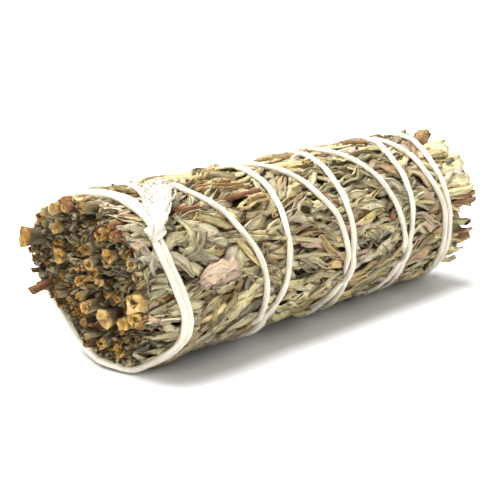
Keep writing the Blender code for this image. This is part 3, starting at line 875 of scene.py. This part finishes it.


# leaves that stand out in the photograph: the broad pinkish one, curled brown ones at the top,
# strips beside the band, and pale strips along the middle
# the last number in each of these is its painted shade
addLeafAt(broadLeaf, -30.2, 79.5, -0.75, -4, 0, 1.12, 0.68, 0.92, 0.4, 0.14)
addLeafAt(leafPatterns[5], -32.6, 85, -0.6, 8, 8, 0.85, 0.9, 0.9, 0.3, 0.2)
addLeafAt(leafPatterns[8], -27.6, 84, -0.75, -14, 0, 0.85, 0.9, 0.9, 0.3, 0.2)
addLeafAt(leafPatterns[9], -20.8, 24, -0.45, 10, 0, 1.15, 0.85, 0.8, 1, 0.12)
addLeafAt(leafPatterns[9], -18.2, 27, -0.4, 14, 0, 0.8, 0.6, 0.76, 1, 0.2)
for n in range(26):  # thin strips curled back beside the band
    left = n % 2 == 0
    x = features.uniform(-46.5, -41.5) if left else features.uniform(-37.5, -33)
    turn = features.uniform(44, 63) if left else features.uniform(53, 70)
    lower = features.uniform(-0.45, 0.2)
    angle = features.choice((features.uniform(35, 110), features.uniform(-20, 20)))
    stretch, widen = features.uniform(0.4, 0.75), features.uniform(0.45, 0.7)
    addLeafAt(leafPatterns[6 if n % 3 else 7], x, turn, lower, angle, 0, stretch, widen,
              features.choice((0.05, 0.5, 0.5, 0.3)), 0.2)
for x, turn in ((-21, 104), (-2, 88), (14, 96), (19, 80), (-14, 66), (0, 52),
                (12, 60), (33, 70), (36, 88)):
    addLeafAt(leafPatterns[4], x, turn, 0, 6 + features.uniform(-14, 14), 0, 0.9, 0.62, 0.66, 0.2)
print("leaf copies laid:", sum(len(pile.faces) for pile in leafPiles), "faces")


# twigs that show along the surface
def twigAlong(pile, points, thickness, tone, dry, rng):
    # one stem bent and drawn out through (x, turn, how far below the leaf radius) points
    pattern, wide = stemPatterns[0], thickness / stemWidth
    span = pattern["high"] - pattern["low"]
    places = [(x, turn, bunchRadius(x) - lower) for x, turn, lower in points]

    def mover(co):
        t = (co.x - pattern["low"]) / span * (len(places) - 1)
        k = min(int(t), len(places) - 2)
        x, turn, radius = (a + (b - a) * (t - k) for a, b in zip(places[k], places[k + 1]))
        turn += degrees(-co.y * wide / bunch["wrapRadius"])
        return place(x, turn, pressed(x, turn, radius + co.z * wide))
    pile.add(pattern, mover, tone, dry, 0, rng)


surfaceTwigs = [  # points, thickness, bark tone
    ([(-49.5, 33, 0.9), (-42, 30, 1), (-36, 32, 0.2)], 1.35, 0.7),
    ([(-49.6, 38, 1.2), (-43.5, 36.5, 1.1), (-39, 36, 0.6)], 1.2, 0.72),
    ([(-35.5, 33.5, 0.1), (-26, 34, -0.1), (-19, 33.4, -0.3), (-12, 32.5, -0.1)], 1.2, 0.68),
    ([(-24.5, 6, 0.3), (-20.5, 14, 0.1), (-16, 17, 0.2)], 1.2, 0.92),
    ([(-29, 56, 0.4), (-19.5, 63, -0.25), (-10, 71, -0.3), (0.5, 79, -0.3), (8, 88, 0)], 0.85, 1),
    ([(-29, 60, 0.3), (-22.5, 63.5, -0.1), (-15, 67, 0.1)], 0.8, 1),
    ([(-11.5, 83, 0.2), (-2, 85.5, -0.2), (8.5, 95, 0.1)], 0.85, 1),
    ([(3, 47, 0.4), (7, 58, 0.2)], 1.4, 0.7),
    ([(12, 28, 0.2), (24, 33, 0.1), (31, 36, 0.3)], 1.2, 0.6),
    ([(-9, 120, 0.5), (3, 124, 0.4), (12, 122, 0.6)], 1.3, 0.97),
    ([(20, 104, 0.4), (32, 108, 0.4), (41, 110, 0.6)], 1.2, 0.5),
    ([(-50, 8, 0.9), (-44, 9, 1), (-36, 6, 0.9)], 1.9, 0.3),
    ([(-50.2, 350, 0.9), (-43, 352, 0.9), (-33, 348, 0.9)], 1.7, 0.74),
    ([(-30, 300, 0.5), (-15, 306, 0.4), (-2, 300, 0.5)], 1.6, 0.78),
    ([(4, 268, 0.5), (18, 262, 0.3), (30, 266, 0.5)], 1.4, 0.97),
    ([(-34, 232, 0.5), (-20, 226, 0.3), (-9, 230, 0.5)], 1.5, 0.5),
    ([(10, 332, 0.5), (22, 326, 0.4), (36, 330, 0.5)], 1.5, 0.84),
]
twigPile = Pile()
for points, thickness, tone in surfaceTwigs:
    twigAlong(twigPile, points, thickness, tone, 0.4, features)
for x, turn, size, tone in ((-7.5, 53, 1.1, 0.02), (-48.6, 348, 0.75, 0.92), (22, 74, 0.6, 0.66),
                            (30, 250, 0.8, 0.05), (-12, 205, 0.7, 0.66)):
    mover = layOnBunch(x, turn, bunchRadius(x) + 0.1, 20, 0, 0, size, size)
    twigPile.add(bud, mover, tone, 0.5, 0, features)


# the cut butts
butts = {"fill": 185, "thin": 0.8, "thick": 2.3, "radius": 15.2, "reach": 16.9, "apart": 0.85,
         "tries": 6000, "thinnerAfter": 1500, "drawnIn": 0.16, "fromX": -51.4, "toX": -41.5,
         "splinters": 260, "splinterRadius": 14.8, "splinterReach": 15.6, "splinterLength": 0.6}
chosenButts = [  # (turn, radius, x of the cut face, thickness, pattern, bark tone, wood dryness)
    (304, 14.3, -51.6, 3.2, 1, 0.15, 0.55), (326, 14.2, -50.8, 2.4, 2, 0.45, 0.5),
    (345, 14.6, -51.2, 2, 1, 0.4, 0.8), (352, 14.9, -50.4, 1.7, 3, 0.66, 0.8),
    (31, 13.6, -49.7, 2.7, 2, 0.84, 0.5), (88, 13.6, -47.3, 4.8, 2, 0.55, 0.95),
    (104, 11.9, -47.3, 4, 2, 0.84, 0.75), (313, 7, -49.4, 2.2, 1, 0.3, 0.6),
    (150, 3.4, -48.8, 2.4, 3, 0.35, 0.8), (134, 7.2, -47.6, 3, 1, 0.25, 0.9),
    (166, 10.6, -46, 2.4, 2, 0.3, 0.7), (46, 10.6, -48.9, 2.2, 1, 0.55, 0.6),
    (20, 3.2, -49.6, 2, 4, 0.88, 0.6), (256, 12.6, -50.4, 1.6, 0, 0.7, 0.2),
    (70, 13.9, -47, 2.1, 3, 1, 0.95), (60, 14.3, -47.6, 1.8, 3, 0.98, 0.95),
    (30, 6, -49.2, 2, 3, 0.98, 0.9), (152, 12.6, -45, 2.2, 1, 0.3, 0.6),
    (118, 9.8, -46.8, 2.4, 1, 0.4, 0.75), (40, 14.6, -49.2, 1.6, 0, 0.7, 0.4)]


def layButts():
    rng = random.Random(510)
    pile = Pile()
    taken = []

    def butt(turn, radius, x, thickness, kind, tone, dry):
        spot = fromAxis(x, turn, radius)
        loose = 0.05 if thickness > 2.6 else 0.13
        way = Vector((1, -spot.y * 0.006 + rng.gauss(0, loose), -spot.z * 0.006 + rng.gauss(0, loose)))
        standStem(pile, rng, stemPatterns[kind], spot, way, rng.uniform(0, 360), 1,
                  thickness / stemWidth, butts["reach"], tone, dry)
        taken.append((spot.y, spot.z, thickness / 2))

    for row in chosenButts:
        butt(*row)
    tries = 0
    while len(taken) < len(chosenButts) + butts["fill"] and tries < butts["tries"]:
        tries += 1
        radius, turn = spotIn(rng, butts["radius"])
        radius *= 1 - butts["drawnIn"] * bell(turn, 195, 30)
        thickness = rng.uniform(butts["thin"], butts["thick"])
        thickness *= 0.8 if tries > butts["thinnerAfter"] else 1
        x, y, z = fromAxis(0, turn, radius)
        if any(hypot(y - a, z - b) < (thickness / 2 + c) * butts["apart"] for a, b, c in taken):
            continue
        x = clamp(faceX(turn, radius) + rng.gauss(0.4, 1.2), butts["fromX"], butts["toX"])
        butt(turn, radius, x, thickness, rng.choice((0, 1, 1, 2, 2, 2, 4, 4)),
             clamp(rng.gauss(0.28, 0.24)), rng.uniform(0, 0.9))
    print("butts:", len(taken))
    thin = stemPatterns[4]
    for n in range(butts["splinters"]):  # thin broken bits between them
        radius, turn = spotIn(rng, butts["splinterRadius"])
        x = faceX(turn, radius) + rng.uniform(-0.6, 1.6)
        way = Vector((1, rng.gauss(0, 0.4), rng.gauss(0, 0.4)))
        standStem(pile, rng, thin, fromAxis(x, turn, radius), way, rng.uniform(0, 360),
                  butts["splinterLength"], rng.uniform(0.2, 0.5), butts["splinterReach"],
                  rng.choice((0.1, 0.3, 0.7, 0.84, 0.92)), rng.random())
    for y, z, lean in ((3.4, 15, 0.25), (2.7, 15.2, -0.1)):  # two hair-thin twigs at the top
        start, way = Vector((-49.6 + lean * 2, y, z)), Vector((lean, 0.05, -1))
        pile.add(thin, standFree(start, way, 0, 0.28, 0.16, 18), 0.86, 0.5, 0, rng)
    return pile


fitted(layButts().build("cutButts", barkPaint), allInner)


# shreds of leaf between the butts, and leaf tips at the far end
ends = {"shreds": 1050, "shredRadius": 15.2, "shredReach": 16.2, "tips": 460, "tipRadius": 15.7,
        "tipReach": 16.9, "tipX": 46.2, "flareReach": 18.65, "halfLeaf": 5}


def shredAt(pile, rng, tip, turn, radius, facing, out, spread, stretch, widen, paintedShadeShare, reach):
    # a leaf with its end at tip, facing -1 for the butts and 1 for the far end, darkened by its painted
    # shade share
    spot = fromAxis(tip - facing * ends["halfLeaf"] * stretch, turn, radius)
    outward = Vector((0, spot.y, spot.z)).normalized() if radius > 0.5 else Vector((0, 0, 1))
    way = Vector((facing, rng.gauss(0, spread), rng.gauss(0, spread))) + outward * out
    pattern = rng.choice(leafPatterns)
    mover = standFree(spot, way, rng.uniform(0, 360), stretch, widen, reach)
    pile.add(pattern, mover, clamp(rng.gauss(0.42, 0.25)), rng.random(), paintedShadeShare, rng)


def layShreds():
    rng = random.Random(620)
    pile = Pile()
    for n in range(ends["shreds"]):
        radius, turn = spotIn(rng, ends["shredRadius"])
        under = clamp((0.2 - cosOf(turn)) / 0.6)
        radius -= under * max(radius - 13, 0) * 0.6
        stretch = rng.uniform(0.3, 0.6)
        tip = faceX(turn, radius) + rng.uniform(-0.9, 2.3) + 1.2 * under
        # painted shade: the shreds among the butts are darkened by a random share
        shredAt(pile, rng, tip, turn, radius, -1, 0.05, 0.26, stretch, rng.uniform(0.3, 0.75),
                rng.uniform(0.1, 0.55), ends["shredReach"] - 1.4 * under)
    return pile


chosenTips = [  # (turn, radius, reach, flare, stretch, widen, tone, dryness, painted shade, pattern)
    (76, 15.6, 50.9, 0.3, 0.75, 1.3, 0.78, 1, 0.35, 3),
    (80, 15.4, 50.2, 0.3, 0.7, 1.2, 0.8, 1, 0.5, 1), (71, 15.9, 50.8, 0.32, 0.6, 0.9, 0.8, 1, 0.2, 0),
    (101, 15.6, 50.8, 0.2, 0.65, 1.2, 0.8, 1, 0.3, 3),
    (106, 15.6, 50, 0.15, 0.7, 1, 0.7, 0.9, 0.15, 0),
    (13, 15.7, 50.9, 0.3, 0.75, 1.1, 0.78, 1, 0.15, 3),
    (8, 15.4, 50.5, 0.25, 0.6, 0.9, 0.78, 1, 0.2, 5), (26, 15.9, 50.9, 0.4, 0.75, 1, 0.66, 0.3, 0, 0),
    (33, 15.8, 49.8, 0.35, 0.7, 1.2, 0.34, 0.3, 0, 3), (42, 16, 50.8, 0.42, 0.8, 1.2, 0.6, 0.3, 0, 0),
    (48, 15.9, 50.9, 0.4, 0.85, 1.3, 0.34, 0.3, 0, 3),
    (54, 15.9, 50.8, 0.34, 0.8, 1.2, 0.5, 0.3, 0, 10),
    (60, 15.9, 50.6, 0.32, 0.8, 1.3, 0.34, 0.3, 0, 3),
    (67, 15.8, 50.4, 0.28, 0.8, 1.2, 0.6, 0.3, 0, 0), (72, 15.8, 50, 0.26, 0.8, 1.1, 0.2, 0.3, 0, 1),
    (92, 15.6, 49.2, 0.15, 0.8, 1.2, 0.34, 0.3, 0, 3),
    (116, 15.6, 49.4, 0.1, 0.8, 1.2, 0.34, 0.3, 0, 3), (126, 15.4, 49, 0.08, 0.8, 1.1, 0.6, 0.3, 0, 0)]


def layTips():
    rng = random.Random(630)
    pile = Pile()
    for n in range(ends["tips"]):
        radius, turn = spotIn(rng, ends["tipRadius"])
        stretch = rng.uniform(0.6, 1)
        front = bell(turnPast(turn, 50), 0, 55)
        tip = ends["tipX"] + (3 + 1.4 * front) * rng.random() ** 1.2 + 0.6 * front
        out = (0.1 + 0.12 * front) * radius / ends["tipRadius"]
        # painted shade: the tips are darkened by a small random share
        shredAt(pile, rng, tip, turn, radius, 1, out, 0.16, stretch, rng.uniform(0.8, 1.4),
                rng.uniform(0, 0.2), ends["tipReach"] + 1.5 * front)
    for turn, radius, reach, flare, stretch, widen, tone, dry, paintedShadeShare, kind in chosenTips:
        outward = fromAxis(0, turn, 1)
        way = Vector((1, 0, 0)) + outward * flare
        spot = Vector((reach, 0, 0)) + outward * (radius + 2.1) - way.normalized() * 5.2 * stretch
        mover = standFree(spot, way, 90 - turn + rng.uniform(-25, 25), stretch, widen, ends["flareReach"])
        pile.add(leafPatterns[kind], mover, tone, dry, paintedShadeShare, rng)
    return pile


allOuter = [f"outer_sprig_{k:02d}" for k in range(1, 11)]
fitted(layShreds().build("buttShreds", leafPaint), allOuter)
fitted(layTips().build("leafTips", leafPaint), allOuter)

farTwigs = [  # (turn, radius, reach, thickness, bark tone) of twigs among the tips
    (81, 14.9, 50.6, 2.6, 0.7), (104, 15, 50.2, 2.4, 0.62), (12, 15.2, 50.4, 1.9, 0.86),
    (330, 14, 50, 1.6, 0.5), (240, 13.2, 49.8, 1.8, 0.74), (200, 11.5, 49.4, 1.5, 0.3),
    (60, 8, 49.6, 1.4, 0.45), (150, 7.4, 49, 1.7, 0.7), (290, 6.4, 49.6, 1.5, 0.3),
    (20, 4, 49.2, 1.3, 0.8), (185, 2.6, 49.8, 1.6, 0.4)]
for turn, radius, reach, thickness, tone in farTwigs:
    way = Vector((-1, features.gauss(0, 0.06), features.gauss(0, 0.06)))
    standStem(twigPile, features, stemPatterns[4 if thickness > 1.6 else 0],
              fromAxis(reach, turn, radius), way, features.uniform(0, 360), 1,
              thickness / stemWidth, 16.6, tone, 0.5)
for index, pile in enumerate(leafPiles, 1):
    fitted(pile.build(f"sprigLeaves{index:02d}", leafPaint), [f"outer_sprig_{index:02d}"])
fitted(twigPile.build("surfaceTwigs", barkPaint), allOuter)


# string, knot and frayed tail
def lobedTube(places, radius, sides, lobes, pitch, pile, tone=0.5, taper=0):
    # places are points in metres; the section has three soft lobes that turn round it
    frameUp = None
    start = len(pile.verts)
    travelled = 0
    for k, point in enumerate(places):
        ahead = places[min(k + 1, len(places) - 1)] - places[max(k - 1, 0)]
        ahead.normalize()
        if frameUp is None:
            frameUp = ahead.orthogonal().normalized()
        frameUp = (frameUp - ahead * frameUp.dot(ahead)).normalized()
        side = ahead.cross(frameUp)
        if k:
            travelled += (point - places[k - 1]).length / mm
        share = k / (len(places) - 1)
        thin = 1 - taper * abs(2 * share - 1) ** 2
        for s in range(sides):
            angle = 2 * pi * s / sides
            lobe = 1 + lobes * cos(3 * angle - 2 * pi * travelled / pitch)
            wobble = 1 + 0.05 * ripple(travelled * 0.8, s * 1.3, tone * 40)
            out = (frameUp * cos(angle) + side * sin(angle)) * radius * lobe * wobble * thin
            pile.verts.append(point + out * mm)
            pile.map.append((travelled, s / sides * 2 * pi * radius + travelled * 0.25))
            pile.traits.append((tone, 0, share, 0))
    rings = len(places)
    for k in range(rings - 1):
        for s in range(sides):
            t = (s + 1) % sides
            a, b = start + k * sides, start + (k + 1) * sides
            pile.faces.append((a + s, a + t, b + t, b + s))
    pile.faces.append(tuple(start + s for s in reversed(range(sides))))
    pile.faces.append(tuple(start + (rings - 1) * sides + s for s in range(sides)))


fuzz = {"hairs": 260, "points": 6, "thickness": 0.045}


def twisted(places, radius):
    pile = Pile()
    lobedTube([place(*spot) for spot in places], radius, string["sides"], string["lobes"],
              string["pitch"], pile)
    return pile


def makeString():
    pile = twisted(runPlaces, string["drawn"])
    rng = random.Random(690)
    for n in range(fuzz["hairs"]):  # fine hairs that stand off the string
        first = rng.randrange(0, len(runPlaces) - 8)
        side, rise, hair = rng.uniform(-0.7, 0.7), rng.uniform(0.3, 0.75), []
        for k in range(fuzz["points"]):
            x, turn, radius = runPlaces[first + k]
            x += side + 0.35 * ripple(k * 0.5, n * 1.7, 2)
            radius += rise + 0.25 * ripple(k * 0.6, n * 2.3, 7)
            hair.append(place(x, turn, radius))
        lobedTube(hair, fuzz["thickness"], 4, 0, 5, pile, rng.random(), 0.6)
    return pile.build("woundString", cottonPaint)


def makeBand():
    return twisted(bandOnly, string["bandDrawn"]).build("buttBand", cottonPaint)


tail = {"strands": 34, "fibres": 640, "from": (-42.7, 49), "to": (-31.6, 4), "halfWidth": 1.6,
        "points": 18, "shorter": 0.6, "highest": 18}


def makeTail():
    # the string's end, come apart into soft strands that pass over the band and fan out
    rng = random.Random(700)
    pile = Pile()
    (x0, turn0), (x1, turn1) = tail["from"], tail["to"]

    def strand(spread, rise, lift, curl):
        seed = rng.uniform(0, 90)
        offset = rng.uniform(-1, 1) * spread
        last = 1 - rng.random() * tail["shorter"]
        points = []
        for k in range(tail["points"]):
            t = last * k / (tail["points"] - 1)
            fan = 0.4 + 0.6 * min(t * 1.8, 1) - 0.35 * max(t - 0.75, 0) / 0.25
            stray = curl * (0.2 + 0.8 * min(t * 1.5, 1))
            x = x0 + (x1 - x0) * t + offset * fan + stray * ripple(t * 6, seed, 1)
            turn = turn0 + (turn1 - turn0) * t + 3 * stray * ripple(t * 4, seed, 5)
            seat = bunchRadius(x) + 0.1 + rise * (0.25 + fan * 0.75) + 0.75 * bell(t, 0.14, 0.12)
            seat += 0.5 * stray * ripple(t * 5, seed, 8) + lift * t
            points.append(place(x, turn, min(seat, tail["highest"])))
        return points

    for n in range(tail["strands"]):
        lobedTube(strand(tail["halfWidth"], rng.uniform(0, 1.1), 0, 2.4), rng.uniform(0.4, 0.7), 8,
                  0.2, 4, pile, rng.random(), 0.5)
    for n in range(tail["fibres"]):
        points = strand(tail["halfWidth"] * 1.15, rng.uniform(0.3, 1.6), rng.uniform(-0.4, 0.2), 3.2)
        lobedTube(points, rng.uniform(0.09, 0.2), 4, 0, 5, pile, rng.random(), 0.6)
    return pile.build("frayedTail", cottonPaint)


knot = {"strands": 9, "points": 9, "at": (-41.5, 46), "seat": 16.75, "hump": 0.62}


def makeKnot():
    # short strands drawn tight across the band where the string is tied off
    rng = random.Random(710)
    pile = Pile()
    for n in range(knot["strands"]):
        shift, points = rng.uniform(-1, 1), []
        for k in range(knot["points"]):
            t = 2 * k / (knot["points"] - 1) - 1
            x = knot["at"][0] + 1.9 * t + 0.3 * shift
            turn = knot["at"][1] + 4 * shift - 2.2 * t
            hump = knot["hump"] * sqrt(max(1 - t * t, 0))
            points.append(place(x, turn, knot["seat"] + hump - 0.25 * abs(shift)))
        lobedTube(points, rng.uniform(0.35, 0.5), 8, 0.15, 5, pile, rng.random(), 0.5)
    return pile.build("tightKnot", cottonPaint)


for make in (makeString, makeBand, makeTail, makeKnot):
    fitted(make(), ["string"])
print("string made")

# floor, light and camera
studio = {"floorSize": 6, "floorZ": -0.00002, "white": (0.9, 0.9, 0.905, 1), "sky": 0.61,
          "keyStrength": 6.8, "keySoftness": 42, "keyFrom": (-0.12, 0.15, 0.46)}
startFresh()
bpy.ops.mesh.primitive_plane_add(size=studio["floorSize"], location=(0, 0, studio["floorZ"]))
floor = bpy.context.object
floor.name = "studioFloor"
bpy.ops.object.transform_apply()
floorPaint = Finish("studio white", studio["white"])
floorPaint.fill(floorPaint.shader, {"Base Color": studio["white"], "Roughness": 0.9})
floor.data.materials.append(floorPaint.material)

world = bpy.data.worlds.new("studio sky")
bpy.context.scene.world = world
world.use_nodes = True
sky = world.node_tree.nodes["Background"].inputs
sky["Color"].default_value, sky["Strength"].default_value = (1, 1, 1, 1), studio["sky"]
bpy.context.scene.view_settings.view_transform = "Standard"

bpy.ops.object.light_add(type="SUN", location=(0, 0, 0.5))
key = bpy.context.object
key.data.energy, key.data.angle = studio["keyStrength"], radians(studio["keySoftness"])
key.rotation_euler = (-Vector(studio["keyFrom"])).to_track_quat("-Z", "Y").to_euler()

view = {"azimuth": -47.64, "elevation": 15.86, "roll": 1.67, "distance": 0.2345,
        "aim": (-0.00451, 0, 0.01445), "lens": 83.35, "sensor": 36}
azimuth, elevation, roll = (radians(view[name]) for name in ("azimuth", "elevation", "roll"))
back = Vector((sin(azimuth) * cos(elevation), -cos(azimuth) * cos(elevation),
               sin(elevation)))
right = (-back).cross(Vector((0, 0, 1))).normalized()
up = right.cross(-back)
rolledRight = right * cos(roll) + up * sin(roll)
rolledUp = up * cos(roll) - right * sin(roll)
cameraData = bpy.data.cameras.new("photo camera")
cameraData.lens, cameraData.sensor_width = view["lens"], view["sensor"]
cameraData.clip_start = 0.01
camera = bpy.data.objects.new("photo camera", cameraData)
turnTo = Matrix((rolledRight, rolledUp, back)).transposed().to_4x4()
camera.matrix_world = Matrix.Translation(Vector(view["aim"]) + back * view["distance"]) @ turnTo
bpy.context.scene.collection.objects.link(camera)
bpy.context.scene.camera = camera
